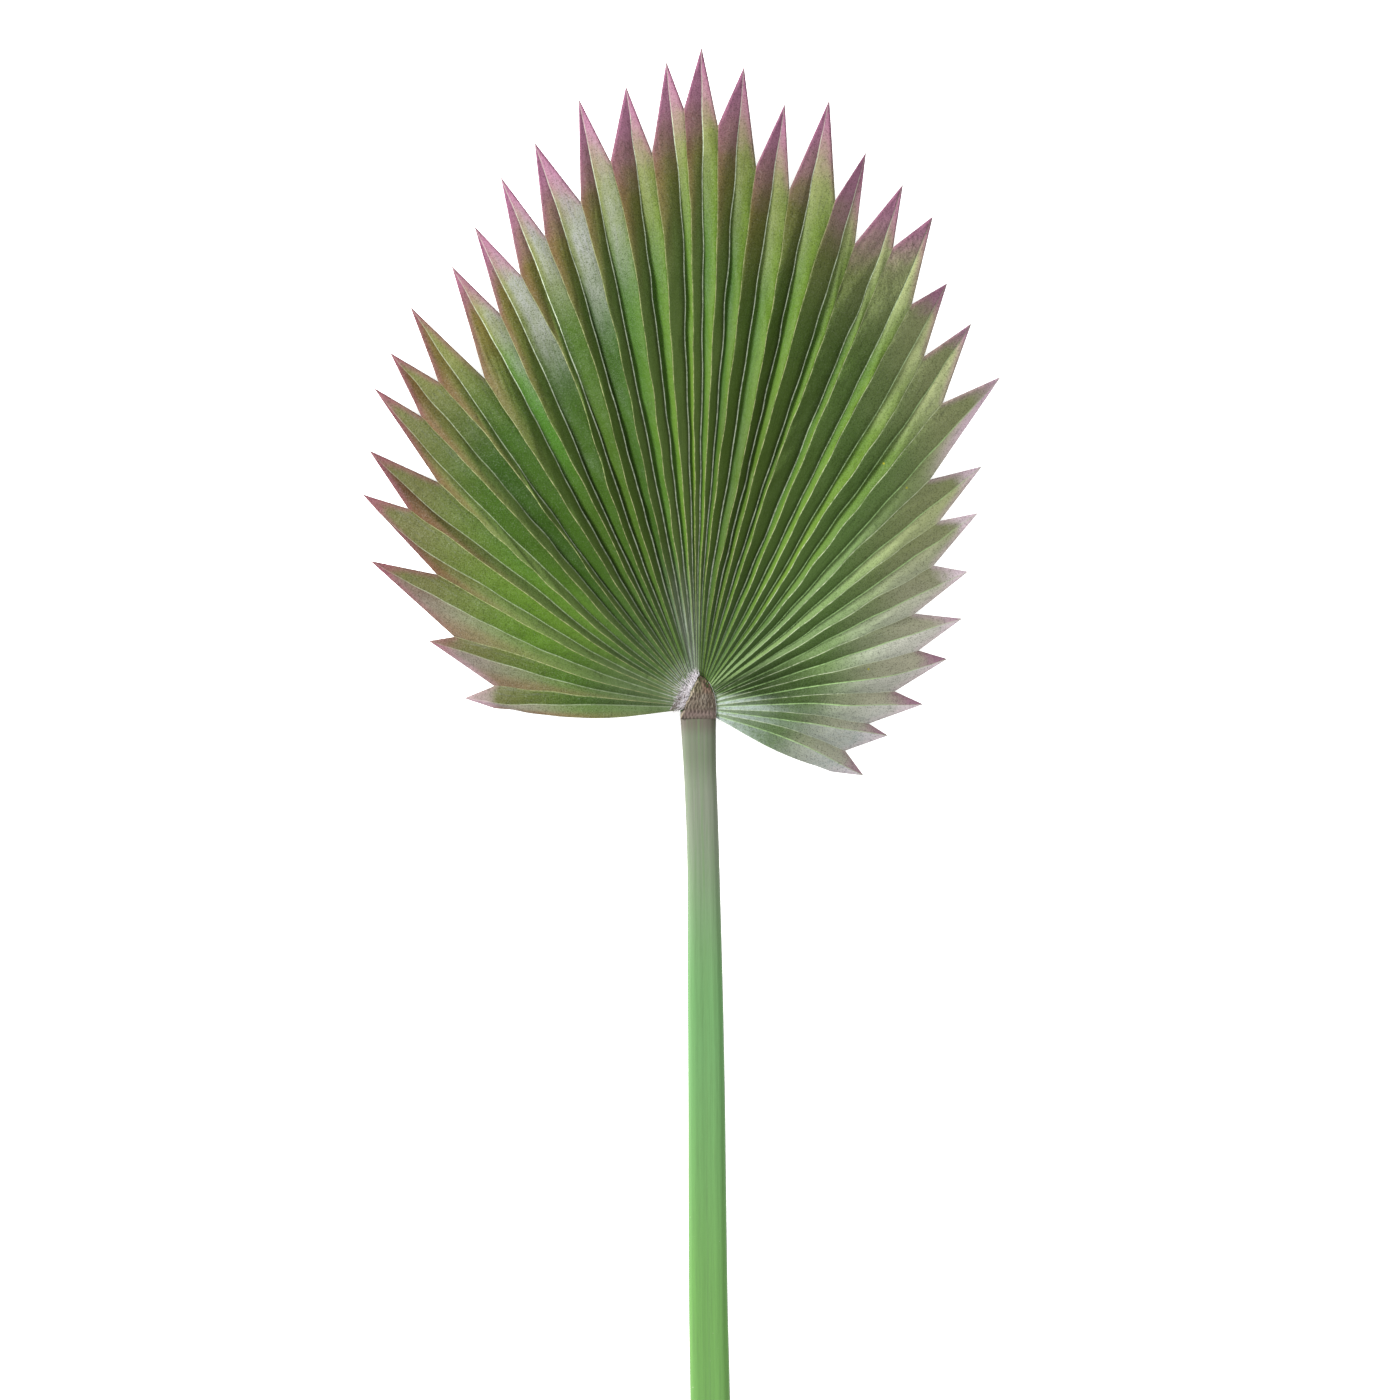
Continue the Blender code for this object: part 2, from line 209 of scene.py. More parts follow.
def foldLine(fold, stations):
    reach, bearings = fold
    knots = [archPoint(bearings[0])]
    knots += [onCircle(ring, b) for ring, b in zip(rings, bearings[:-1])]
    knots = np.array(knots + [onCircle(reach, bearings[-1])])
    steps = np.diff(knots, axis=0)
    lengths = np.linalg.norm(steps, axis=1)
    slopes = steps / lengths[:, None]
    tangents = [slopes[0]]
    for k in range(1, len(lengths)):
        before, after = lengths[k - 1], lengths[k]
        tangents.append((slopes[k - 1] * after + slopes[k] * before) / (before + after))
    tangents = np.array(tangents + [slopes[-1]])
    marks = np.concatenate(([0.0], np.cumsum(lengths)))
    d = stations * marks[-1]
    k = np.clip(np.searchsorted(marks, d, side="right") - 1, 0, len(lengths) - 1)
    t = ((d - marks[k]) / lengths[k])[:, None]
    reachStep = lengths[k][:, None]
    return ((2 * t ** 3 - 3 * t ** 2 + 1) * knots[k]
            + (t ** 3 - 2 * t ** 2 + t) * reachStep * tangents[k]
            + (3 * t ** 2 - 2 * t ** 3) * knots[k + 1]
            + (t ** 3 - t ** 2) * reachStep * tangents[k + 1])


def wandered(line, seed):
    # no fold is quite even: each strays a little to its sides, but not at its ends
    steps = np.linalg.norm(np.diff(line, axis=0), axis=1)
    along = np.concatenate(([0.0], np.cumsum(steps)))
    ahead = np.gradient(line, axis=0)
    ahead /= np.linalg.norm(ahead, axis=1)[:, None]
    b = blade
    amount = b["stray"] * waves(along, along * 0, seed, b["strayLength"], 4)
    amount = amount * smooth((along - b["strayFrom"]) / b["strayFade"])
    amount = amount * smooth((along[-1] - along) / b["strayEnd"])
    return line + np.column_stack((-ahead[:, 1], ahead[:, 0])) * amount[:, None]


def distanceTo(points, line):
    starts, steps = line[:-1], np.diff(line, axis=0)
    away = points[:, None, :] - starts[None]
    along = np.clip((away * steps).sum(axis=2) / (steps ** 2).sum(axis=1), 0, 1)
    return np.linalg.norm(away - along[..., None] * steps, axis=2).min(axis=1)


def buildBlade():
    b = blade
    stations = np.linspace(0, 1, b["rows"]) ** b["rowCrowding"]
    lines = [wandered(foldLine(f, stations), 500 + i) for i, f in enumerate(folds)]
    valley = b["hubTop"] + b["ribArch"] * np.sin(math.pi * stations) - b["tipDroop"] * stations ** 2
    shareOfCrest = np.where(
        stations < b["crestFrom"],
        mix(b["crestStart"], 1.0, smooth(stations / b["crestFrom"])),
        mix(1.0, b["crestEnd"], smooth((stations - b["crestTo"]) / (1 - b["crestTo"]))))
    rises = []
    for i, line in enumerate(lines):
        widths = np.array([distanceTo(line, lines[j]) for j in (i - 1, i + 1) if 0 <= j < len(lines)])
        away = abs(folds[i][1][0] - 90) / b["marginBearing"]
        slope = mix(b["crestSlope"], b["marginSlope"], float(smooth((away - 0.15) / 0.7)))
        rise = np.minimum(slope * widths.mean(axis=0), b["steepest"] * widths.min(axis=0))
        rises.append(shareOfCrest * rise)

    ribHalf = mix(b["ribHalfWidth"], b["ribTipHalfWidth"], stations)
    columns, marks = [], {k: [] for k in ("across", "rib", "crest", "toTip", "toEdge", "reach",
                                          "bearing", "segment", "vein", "facetWidth")}

    def addColumn(rib, ridge, side, share, ribLift, crestDistance, wide, seed):
        start, end = lines[rib], lines[ridge]
        plan = mix(start, end, share[:, None])
        rise = rises[ridge]
        roundBy = b["crestRound"] * np.minimum(1, rise / 2.0)
        fall = (np.sqrt(crestDistance ** 2 + roundBy ** 2) - roundBy) / (
            np.sqrt(wide ** 2 + roundBy ** 2) - roundBy)
        lift = rise * (1 - fall) + rise * b["bow"] * share * (1 - share) * 2
        soft = np.clip(wide / 8.0, 0, 1) * np.clip(share * (1 - share) * 4, 0, 1)
        ripple = b["ripple"] * soft * waves(plan[:, 0], plan[:, 1], 100 + seed, b["rippleLength"])
        skin = valley + lift + ripple
        out = smooth((np.linalg.norm(plan, axis=1) - b["coreFlat"]) / (b["coreEnd"] - b["coreFlat"]))
        keel = b["ribKeel"] * ribLift
        bottom = mix(b["underHub"] * np.ones_like(skin), skin - b["thick"] - keel, out)
        columns.append(np.column_stack((plan, skin + b["ribRaise"] * ribLift, bottom)))
        tip = lines[rib][-1]
        notches = [lines[j][-1] for j in (rib - 1, rib + 1)]
        edge = np.minimum(*[distanceTo(plan, np.array((n, tip))) for n in notches])
        marks["across"].append(side * share)
        marks["rib"].append(ribLift)
        marks["crest"].append(np.clip(1 - crestDistance / b["crestLine"], 0, 1))
        marks["toTip"].append(np.linalg.norm(plan - tip, axis=1))
        marks["toEdge"].append(edge)
        marks["reach"].append(np.linalg.norm(plan, axis=1))
        marks["bearing"].append((np.degrees(np.arctan2(plan[:, 1], plan[:, 0])) + 90) % 360 - 90)
        marks["segment"].append(np.full_like(skin, (rib - 1) / 2))
        marks["vein"].append(side * share * b["veins"] + seed)
        marks["facetWidth"].append(wide)

    for rib in range(1, len(lines), 2):
        for side, ridge in ((-1, rib - 1), (1, rib + 1)):
            wide = distanceTo(lines[ridge], lines[rib])  # square to the folds
            foot = np.minimum(b["ribShare"], ribHalf / wide)
            head = np.minimum(0.25, b["crestBand"] / wide)
            # where the points lie between rib and crest, and how much of the raised rib is there
            steps = [(foot * c, l) for c, l in ((0.0, 1.0), (0.45, 0.8), (1.0, 0.12), (1.35, 0.0))]
            inner, outer = foot * 1.35, 1 - head
            steps += [(mix(inner, outer, c), 0.0) for c in (0.28, 0.55, 0.8)]
            steps += [(1 - head * c, 0.0) for c in (1.0, 0.45, 0.18, 0.0)]
            if side < 0:
                chosen = list(reversed(steps)) if rib == 1 else list(reversed(steps))[1:]
            else:
                chosen = steps[1:]
            for share, lift in chosen:
                addColumn(rib, ridge, side, share, np.full_like(wide, lift),
                          (1 - share) * wide, wide, rib)
    grid = np.array(columns)  # column, row, (x, y, top, bottom)

    # each side droops, more the further out, until one point of it comes down to the surface
    x = grid[..., 0]
    droop = (np.maximum(0.0, np.abs(x) - b["droopStart"]) / b["droopSpan"]) ** 2
    for side in (x < -b["droopStart"], x > b["droopStart"]):
        drop = (grid[..., 3][side] / droop[side]).min()
        grid[..., 2][side] -= drop * droop[side]
        grid[..., 3][side] -= drop * droop[side]

    count, rows = grid.shape[:2]
    low = count * rows
    points = np.concatenate((grid[..., [0, 1, 2]].reshape(-1, 3), grid[..., [0, 1, 3]].reshape(-1, 3)))
    i, k = np.meshgrid(np.arange(count - 1), np.arange(rows - 1), indexing="ij")
    a, c = (i * rows + k).ravel(), ((i + 1) * rows + k).ravel()
    top = np.concatenate((np.column_stack((a, c, c + 1)), np.column_stack((a, c + 1, a + 1))))
    faces = [tuple(f) for f in top.tolist()] + [tuple(f) for f in (top[:, ::-1] + low).tolist()]
    rim = [i * rows for i in range(count)]
    rim += [(count - 1) * rows + k for k in range(1, rows)]
    rim += [i * rows + rows - 1 for i in range(count - 2, -1, -1)]
    rim += [k for k in range(rows - 2, 0, -1)]
    for p, q in zip(rim, rim[1:] + rim[:1]):
        faces += [(p, p + low, q + low), (p, q + low, q)]
    both = {name: np.concatenate((np.array(v).ravel(),) * 2) for name, v in marks.items()}
    both["under"] = np.concatenate((np.zeros(low), np.ones(low)))
    return points, faces, both


bladePoints, bladeFaces, bladeMarks = buildBlade()
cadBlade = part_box("blade")
bladeTop = cadBlade[1][2] / mm - 0.01  # no crest stands above the solid's
bladePoints[:, 2] = np.minimum(bladePoints[:, 2], bladeTop)
hubAt = np.array((cadBlade[0][0] / mm - bladePoints[:, 0].min(),
                  cadBlade[1][1] / mm - bladePoints[:, 1].max(), 0.0))


def inBox(points):
    # within the solids' box by a thousandth of a millimetre
    low, high = (np.array(corner) / mm for corner in cadBox)
    return np.clip(points + hubAt, low + 0.001, high - 0.001)


print("blade shaped:", len(bladePoints), "points,", len(bladeFaces), "faces, hub at", hubAt.round(3))


# material building blocks; "ramp" goes from low to high while its value goes from start to end

class Nodes:
    def __init__(self, name):
        self.material = bpy.data.materials.new(name)
        self.material.use_nodes = True
        self.tree = self.material.node_tree
        self.shader = self.tree.nodes["Principled BSDF"]

    def add(self, kind, **values):
        made = self.tree.nodes.new(kind)
        for key, value in values.items():
            setattr(made, key, value)
        return made

    def plug(self, value, socket):
        if isinstance(value, bpy.types.NodeSocket):
            self.tree.links.new(value, socket)
        else:
            socket.default_value = value

    def math(self, operation, a, b=0.0, c=0.0):
        made = self.add("ShaderNodeMath", operation=operation)
        for value, socket in zip((a, b, c), made.inputs):
            self.plug(value, socket)
        return made.outputs[0]

    def times(self, *values):
        product = values[0]
        for value in values[1:]:
            product = self.math("MULTIPLY", product, value)
        return product

    def apart(self, a, b):
        return self.math("ABSOLUTE", self.math("SUBTRACT", a, b))

    def mark(self, name):
        return self.add("ShaderNodeAttribute", attribute_name=name).outputs["Fac"]

    def ramp(self, value, start, end, low=0.0, high=1.0):
        made = self.add("ShaderNodeMapRange", interpolation_type="SMOOTHSTEP", clamp=True)
        for v, label in ((value, "Value"), (start, "From Min"), (end, "From Max"),
                         (low, "To Min"), (high, "To Max")):
            self.plug(v, made.inputs[label])
        return made.outputs["Result"]

    def noise(self, scale, detail=3.0, roughness=0.55, stretch=(1, 1, 1), seed=0.0):
        place = self.add("ShaderNodeTexCoord").outputs["Object"]
        shift = self.add("ShaderNodeMapping")
        self.plug(place, shift.inputs["Vector"])
        shift.inputs["Location"].default_value = (seed, seed * 0.7, seed * 0.3)
        shift.inputs["Scale"].default_value = stretch
        made = self.add("ShaderNodeTexNoise")
        self.plug(shift.outputs["Vector"], made.inputs["Vector"])
        made.inputs["Scale"].default_value = scale
        made.inputs["Detail"].default_value = detail
        made.inputs["Roughness"].default_value = roughness
        return made.outputs["Fac"]

    def blend(self, share, a, b):
        made = self.add("ShaderNodeMix", data_type="RGBA")
        self.plug(share, made.inputs[0])
        self.plug(self.colour(a), made.inputs[6])
        self.plug(self.colour(b), made.inputs[7])
        return made.outputs[2]

    def colour(self, value):
        return (*value, 1.0) if isinstance(value, tuple) and len(value) == 3 else value

    def bump(self, height, strength, distance, before=None):
        made = self.add("ShaderNodeBump")
        self.plug(height, made.inputs["Height"])
        made.inputs["Strength"].default_value = strength
        made.inputs["Distance"].default_value = distance
        if before:
            self.plug(before, made.inputs["Normal"])
        return made.outputs["Normal"]

    def finish(self, colour, roughness, normal=None, specular=0.5):
        self.plug(colour, self.shader.inputs["Base Color"])
        self.plug(roughness, self.shader.inputs["Roughness"])
        if normal:
            self.plug(normal, self.shader.inputs["Normal"])
        self.shader.inputs["Specular IOR Level"].default_value = specular
        return self.material


paintLevel = 0.84  # paints a little dark under a strong light, so that the floor stays white


def seen(r, g, b, share=1.0):
    # a screen colour, 0 to 255, as linear paint for this scene's light
    return tuple(paintLevel * share * ((c / 255 + 0.055) / 1.055) ** 2.4 for c in (r, g, b))


leafFinish = dict(
    brightHeart=seen(70, 108, 46, 0.33), brightMiddle=seen(62, 98, 30, 0.33),
    brightLively=seen(80, 122, 44, 0.35), brightLeft=seen(104, 145, 50, 0.35),
    brightRight=seen(120, 158, 70, 0.37), brightFlank=seen(144, 172, 114, 0.46),
    darkHeart=seen(66, 88, 46, 0.72), darkMiddle=seen(76, 98, 40, 0.60),
    darkLeft=seen(90, 110, 56, 0.78), darkRight=seen(92, 119, 62, 0.68),
    outerLeft=seen(134, 136, 78, 0.26), outerTop=seen(150, 154, 84, 0.37),
    outerRight=seen(186, 194, 140, 0.54), outerFlank=seen(206, 204, 194, 0.68),
    oliveLeft=seen(108, 74, 46, 0.34), oliveTop=seen(106, 92, 44, 0.60),
    oliveRight=seen(128, 134, 92, 0.68), oliveFlank=seen(176, 174, 150, 0.60),
    # the bloom and frost colours below also paint the sheen on the facets
    blush=seen(162, 150, 138, 0.33), bloomAndSheen=seen(200, 204, 196, 0.28), frostAndSheen=seen(190, 204, 200, 0.48),
    tipMauve=seen(162, 106, 140, 0.60), tipBrown=seen(146, 84, 96, 0.42),
    tipPale=seen(204, 188, 198, 1.15), edge=seen(156, 92, 114, 0.40),
    brown=seen(128, 88, 66, 0.5), yellow=seen(120, 152, 50, 0.34),
    ribPale=seen(206, 218, 190, 0.66), ribGreen=seen(168, 204, 136, 0.70),
    crestPale=seen(206, 206, 150, 0.38), crestRight=seen(206, 216, 180, 0.62),
    crestHighlight=seen(130, 164, 40, 0.40),
    fresh=seen(88, 146, 50, 0.36),
    freshSegment=8, pinkSegment=24,  # counted clockwise from the lower left
    paleLow=seen(134, 152, 108, 0.52), hubWhite=seen(214, 212, 216, 0.46),
    # deep: a near-black green for the painted shade in the valleys, for random darker facets and for
    # the darker grain
    under=seen(150, 168, 124, 0.36), spot=seen(206, 200, 60, 0.42), deep=seen(24, 34, 12, 0.5),
    spots=((184, 226), (207, 202), (169, 22)),  # yellow spots, in photo pixels from the hub
    spotSize=1.1,  # radius, mm
    roughness=0.42, specular=0.04,
)


def leafMaterial():
    f = leafFinish
    n = Nodes("leafGreen")
    reach, across, toTip, toEdge = (n.mark(m) for m in ("reach", "across", "toTip", "toEdge"))
    rib, crest, bearing, segment = (n.mark(m) for m in ("rib", "crest", "bearing", "segment"))
    vein, width, under = n.mark("vein"), n.mark("facetWidth"), n.mark("under")
    patchy = n.noise(16, detail=4, seed=1.7)
    cloudy = n.noise(55, detail=4, roughness=0.6, seed=2.9)
    mottled = n.noise(420, detail=5, roughness=0.75, seed=3.1)
    speckle = n.noise(1150, detail=2, roughness=0.6, seed=5.3)
    right = n.ramp(across, -0.06, 0.06)  # 1 on the clockwise facet of a segment
    beside = n.math("ABSOLUTE", across)  # 0 at the rib, 1 at the crest
    sway = n.math("SUBTRACT", patchy, 0.5)
    facet = n.add("ShaderNodeTexWhiteNoise", noise_dimensions="1D")
    n.plug(n.math("MULTIPLY_ADD", right, 40.0, segment), facet.inputs["W"])
    chance = facet.outputs["Value"]  # differs from facet to facet

    # streaks that run along the facets
    strands = n.add("ShaderNodeCombineXYZ")
    n.plug(vein, strands.inputs[0])
    n.plug(n.times(reach, 0.03), strands.inputs[1])
    streaks = n.add("ShaderNodeTexNoise")
    n.plug(strands.outputs[0], streaks.inputs["Vector"])
    streaks.inputs["Scale"].default_value = 1.7
    streaks.inputs["Detail"].default_value = 4
    streaks.inputs["Roughness"].default_value = 0.65
    streak = streaks.outputs["Fac"]

    # where in the fan: bearings in degrees, from -40 at the lower right to 195 at the lower left
    around = n.math("ADD", bearing, n.times(sway, 14))
    quiet = n.times(n.ramp(around, 99, 107), n.ramp(around, 148, 138))
    leftFlank = n.ramp(around, 120, 140)
    lowestLeft = n.ramp(around, 153, 166)
    rightFlank = n.ramp(around, 36, 12)
    rightHalf = n.ramp(around, 78, 42)
    lowest = n.ramp(around, 0, -18)
    # silver: where the silvery bloom with its painted sheen lies
    silver = n.times(n.ramp(around, 95, 104), n.ramp(around, 122, 114))
    part = n.math("DIVIDE", toTip, n.math("ADD", reach, toTip))  # 1 at the hub, 0 at the tip

    # bright clockwise facets and dark anticlockwise ones, from the heart outwards
    along = n.math("ADD", reach, n.times(sway, 110))
    inward = n.ramp(along, 20, 120)
    flank = n.math("MAXIMUM", n.ramp(around, 132, 152), n.ramp(around, 62, 34))
    part = n.math("ADD", part, n.times(sway, 0.15))
    outward = n.ramp(part, n.math("MULTIPLY_ADD", flank, 0.20, 0.36),
                     n.math("MULTIPLY_ADD", flank, 0.08, 0.05))
    middle = n.blend(quiet, f["brightLively"], f["brightMiddle"])
    middle = n.blend(rightHalf, middle, f["brightRight"])
    middle = n.blend(n.ramp(around, 52, 34), middle, f["brightFlank"])
    middle = n.blend(n.ramp(around, 138, 152), middle, f["brightLeft"])
    paleHeart = n.times(n.ramp(around, 52, 36), n.ramp(around, 10, 24))
    heart = n.math("MAXIMUM", inward, n.times(paleHeart, 0.8))
    bright = n.blend(heart, f["brightHeart"], middle)
    rim = n.blend(leftFlank, f["outerTop"], f["outerLeft"])
    rim = n.blend(n.ramp(around, 92, 50), rim, f["outerRight"])
    rim = n.blend(rightFlank, rim, f["outerFlank"])
    bright = n.blend(n.times(chance, 0.3), bright, f["yellow"])
    bright = n.blend(outward, bright, rim)
    middle = n.blend(n.ramp(around, 116, 146), f["darkMiddle"], f["darkLeft"])
    lighter = n.ramp(n.apart(around, 96), 13, 5, 0.0, 0.65)
    middle = n.blend(lighter, middle, f["darkLeft"])
    dark = n.blend(inward, f["darkHeart"], n.blend(rightHalf, middle, f["darkRight"]))
    rim = n.blend(leftFlank, f["oliveTop"], f["oliveLeft"])
    rim = n.blend(n.ramp(around, 84, 62), rim, f["oliveRight"])
    rim = n.blend(rightFlank, rim, f["oliveFlank"])
    rim = n.blend(n.ramp(around, 154, 164), rim, f["blush"])
    dark = n.blend(outward, dark, rim)
    crestSide = n.times(n.ramp(beside, 0.35, 0.95), n.ramp(toTip, 170, 50), n.ramp(around, 76, 94))
    dark = n.blend(n.times(crestSide, 0.6), dark, f["brown"])
    green = n.blend(right, dark, bright)
    green = n.blend(n.ramp(chance, 0.35, 0.0, 0.0, 0.16), green, f["deep"])
    # painted highlight: brighter yellow-green towards the crests of the clockwise facets on the top and
    # upper right, away from the tips
    crestHighlight = n.times(n.ramp(beside, 0.3, 0.9), right, n.ramp(around, 104, 90), n.ramp(around, 44, 60),
                   n.ramp(toTip, 40, 90, 0.0, 0.36))
    green = n.blend(crestHighlight, green, f["crestHighlight"])
    fresh = n.times(n.math("COMPARE", segment, f["freshSegment"], 0.3), right)
    fresh = n.times(fresh, n.ramp(toTip, 45, 80, 0.0, 0.55))
    green = n.blend(n.times(fresh, n.ramp(toTip, 190, 120)), green, f["fresh"])

    # painted shade in the valleys, most where the light comes over a high crest; then darker facets
    # near the hub on the lower right, the clockwise ones most, and darker clockwise facets near bearing
    # 79
    shade = n.times(n.ramp(beside, 0.42, 0.04), n.ramp(toTip, 50, 170),
                    n.ramp(around, 150, 120, 0.15, 0.55))
    upperLeft = n.ramp(around, 98, 112)  # there it lies to the right of the ribs, elsewhere to the left
    left, elsewhere = n.math("SUBTRACT", 1.0, right), n.math("SUBTRACT", 1.0, upperLeft)
    sideShade = n.math("ADD", n.times(upperLeft, right), n.times(elsewhere, left))
    shade = n.times(shade, sideShade)
    green = n.blend(n.times(shade, n.ramp(around, 30, 70, 0.5, 1.0)), green, f["deep"])
    lit = n.times(n.ramp(n.apart(around, 4), 26, 10), n.ramp(right, 0, 1, 0.3, 1.0))
    green = n.blend(n.times(lit, n.ramp(reach, 100, 35, 0.0, 0.75)), green, f["deep"])
    quieter = n.ramp(n.apart(around, 79), 12, 5)
    quieter = n.times(quieter, right, n.ramp(reach, 240, 140, 0.0, 0.34))
    green = n.blend(quieter, green, f["deep"])

    # paler near the hub on the left, most of all on the lowest segments
    pale = n.times(n.ramp(reach, 120, 25), n.ramp(around, 92, 130, 0.0, 0.14))
    pale = n.math("MAXIMUM", pale, n.times(lowestLeft, n.ramp(reach, 90, 35, 0.0, 0.40)))
    palePatch = n.times(n.ramp(around, 0, -12), n.ramp(reach, 70, 20, 0.0, 0.5))
    pale = n.math("MAXIMUM", pale, palePatch)
    green = n.blend(pale, green, f["paleLow"])

    # pale bloom with painted sheen: silvery on the upper left, in streaks towards the tips, frosty on
    # the lowest right
    bloomAndSheen = n.math("ADD", toTip, n.times(n.math("SUBTRACT", chance, 0.5), 60))
    bloomAndSheen = n.times(n.ramp(bloomAndSheen, 132, 55), right, silver, n.ramp(beside, 0.08, 0.40, 0.15, 1.0))
    patch = n.times(n.ramp(streak, 0.30, 0.62, 0.55, 1.0), n.ramp(cloudy, 0.30, 0.62, 0.70, 1.0),
                    n.ramp(speckle, 0.30, 0.52, 0.55, 1.0))
    green = n.blend(n.times(bloomAndSheen, patch), green, f["bloomAndSheen"])
    # painted sheen in streaks towards the tips, mostly on the clockwise facets
    sheen = n.times(n.ramp(streak, 0.45, 0.68, 0.0, 0.24), n.ramp(toTip, 110, 35),
                    n.ramp(beside, 0.3, 0.9, 0.2, 1.0), n.ramp(n.apart(around, 82), 10, 24, 0.4, 1.0),
                    n.math("MULTIPLY_ADD", right, 0.8, 0.2))
    green = n.blend(sheen, green, f["bloomAndSheen"])
    frostAndSheen = n.ramp(n.apart(part, 0.45), 0.05, 0.35, 0.25, 1.0)
    frostAndSheen = n.times(lowest, frostAndSheen, n.math("MULTIPLY_ADD", right, 0.6, 0.25))
    green = n.blend(n.times(frostAndSheen, n.ramp(mottled, 0.34, 0.6, 0.4, 1.0)), green, f["frostAndSheen"])

    # mauve tips: strongest at the top, browner at the left and paler at the right
    tone = n.blend(n.ramp(around, 112, 130), f["tipMauve"], f["tipBrown"])
    tone = n.blend(n.ramp(around, 166, 174, 0.0, 0.4), tone, f["tipPale"])
    mauve = n.times(n.ramp(around, 22, 12), n.ramp(right, 1, 0, 0.0, 0.9))
    tone = n.blend(n.math("SUBTRACT", n.ramp(around, 62, 28), mauve), tone, f["tipPale"])
    topReach = n.times(n.ramp(around, 54, 76), n.ramp(around, 130, 102))
    tipLength = n.math("MULTIPLY_ADD", topReach, n.ramp(right, 0, 1, 44, 30), 20)
    near = n.math("ADD", toTip, n.times(n.math("SUBTRACT", cloudy, 0.5), 30))
    near = n.math("DIVIDE", near, tipLength)
    strong = n.math("SUBTRACT", 0.85, n.times(rightFlank, n.ramp(right, 0, 1, 0.05, 0.3)))
    strong = n.times(strong, n.math("SUBTRACT", 1.0, n.times(lowest, 0.3)))
    lowBright = n.times(lowestLeft, right, 0.5)
    strong = n.times(strong, n.math("SUBTRACT", 1.0, lowBright))
    green = n.blend(n.times(n.ramp(near, 1.25, 0.2), strong), green, tone)
    rimLine = n.times(n.ramp(toEdge, 5.0, 0.1), n.ramp(toTip, 95, 20, 0.0, 0.7))
    green = n.blend(n.times(rimLine, strong), green, n.blend(0.5, tone, f["edge"]))

    # one longer pinkish margin on the right
    margin = n.times(n.math("COMPARE", segment, f["pinkSegment"], 0.3), right)
    margin = n.times(margin, n.ramp(toEdge, 11, 1), n.ramp(toTip, 95, 35, 0.0, 0.75))
    green = n.blend(margin, green, tone)

    # grain of the leaf
    outer = n.ramp(toTip, 220, 70, 0.35, 1.0)
    green = n.blend(n.times(n.ramp(speckle, 0.50, 0.30, 0.0, 0.50), outer), green, f["deep"])
    green = n.blend(n.times(n.ramp(mottled, 0.52, 0.72, 0.0, 0.35), outer), green, f["deep"])
    # pale specks of painted sheen in the grain
    green = n.blend(n.times(n.ramp(speckle, 0.54, 0.70, 0.0, 0.22), outer), green, f["bloomAndSheen"])
    dim = n.times(n.ramp(streak, 0.52, 0.72), n.ramp(width, 2, 6, 0.0, 0.26))
    green = n.blend(dim, green, f["deep"])

    # whitish broken streaks above the hub, and white starts of the folds on its left
    white = n.times(n.ramp(n.apart(around, 98), 14, 4), n.ramp(reach, 105, 25),
                    n.ramp(streak, 0.40, 0.60, 0.0, 0.42))
    start = n.times(n.ramp(reach, 29, 12), n.ramp(around, 86, 100),
                    n.ramp(mottled, 0.40, 0.58, 0.3, 0.9),
                    n.math("MAXIMUM", n.ramp(rib, 0.2, 0.8, 0.2, 1.0), crest))
    green = n.blend(n.math("MAXIMUM", white, start), green, f["hubWhite"])

    # thin pale ribs and crests, broken here and there: a paler colour of their own, and partly a
    # painted highlight
    clear = n.ramp(reach, 22, 95, 0.12, 1.0)
    clear = n.math("MAXIMUM", clear, n.ramp(around, 105, 135, 0.0, 0.7))
    clear = n.math("MAXIMUM", clear, n.ramp(around, 28, 0, 0.0, 0.4))
    broken = n.ramp(n.noise(240, detail=3, roughness=0.7, seed=9.4), 0.36, 0.60, 0.25, 1.0)
    line = n.times(n.ramp(crest, 0.1, 0.9), n.ramp(toTip, 30, 90, 0.25, 0.9), clear, broken)
    green = n.blend(line, green, n.blend(rightHalf, f["crestPale"], f["crestRight"]))
    line = n.times(n.ramp(rib, 0.12, 0.65), n.ramp(toTip, 5, 60, 0.3, 0.85), clear,
                   n.ramp(broken, 0.25, 1.0, 0.6, 1.0), n.ramp(around, 108, 140, 1.0, 0.3))
    green = n.blend(line, green, n.blend(rightHalf, f["ribPale"], f["ribGreen"]))
    green = n.blend(n.times(under, 0.6), green, f["under"])

    # a few small yellow spots on the right
    place = n.add("ShaderNodeTexCoord").outputs["Object"]
    for east, north in f["spots"]:
        away = n.add("ShaderNodeVectorMath", operation="DISTANCE")
        flat = n.add("ShaderNodeVectorMath", operation="MULTIPLY")
        n.plug(place, flat.inputs[0])
        flat.inputs[1].default_value = (1, 1, 0)
        n.plug(flat.outputs[0], away.inputs[0])
        away.inputs[1].default_value = (hubAt + photoScale * np.array((east, north, 0))) * mm
        spot = n.ramp(away.outputs["Value"], f["spotSize"] * mm, 0.2 * mm, 0.0, 0.85)
        green = n.blend(spot, green, f["spot"])

    height = n.math("MULTIPLY_ADD", speckle, 0.3, n.times(mottled, 0.7))
    crumpled = n.times(n.ramp(n.apart(around, 58), 16, 6), n.ramp(reach, 120, 180),
                       n.ramp(right, 1, 0, 0.2, 1.0))
    normal = n.bump(n.times(cloudy, n.math("MULTIPLY_ADD", crumpled, 2.2, 1.0)), 0.4, 0.004)
    normal = n.bump(height, 0.5, 0.0008, before=normal)
    normal = n.bump(streak, 0.25, 0.0004, before=normal)
    rough = n.math("ADD", f["roughness"], n.times(n.math("SUBTRACT", mottled, 0.5), 0.25))
    return n.finish(green, rough, normal, f["specular"])


makePiece("leafBlade", inBox(bladePoints), bladeFaces, leafMaterial(), "blade",
          bladeMarks)
print("blade made")


# stalk

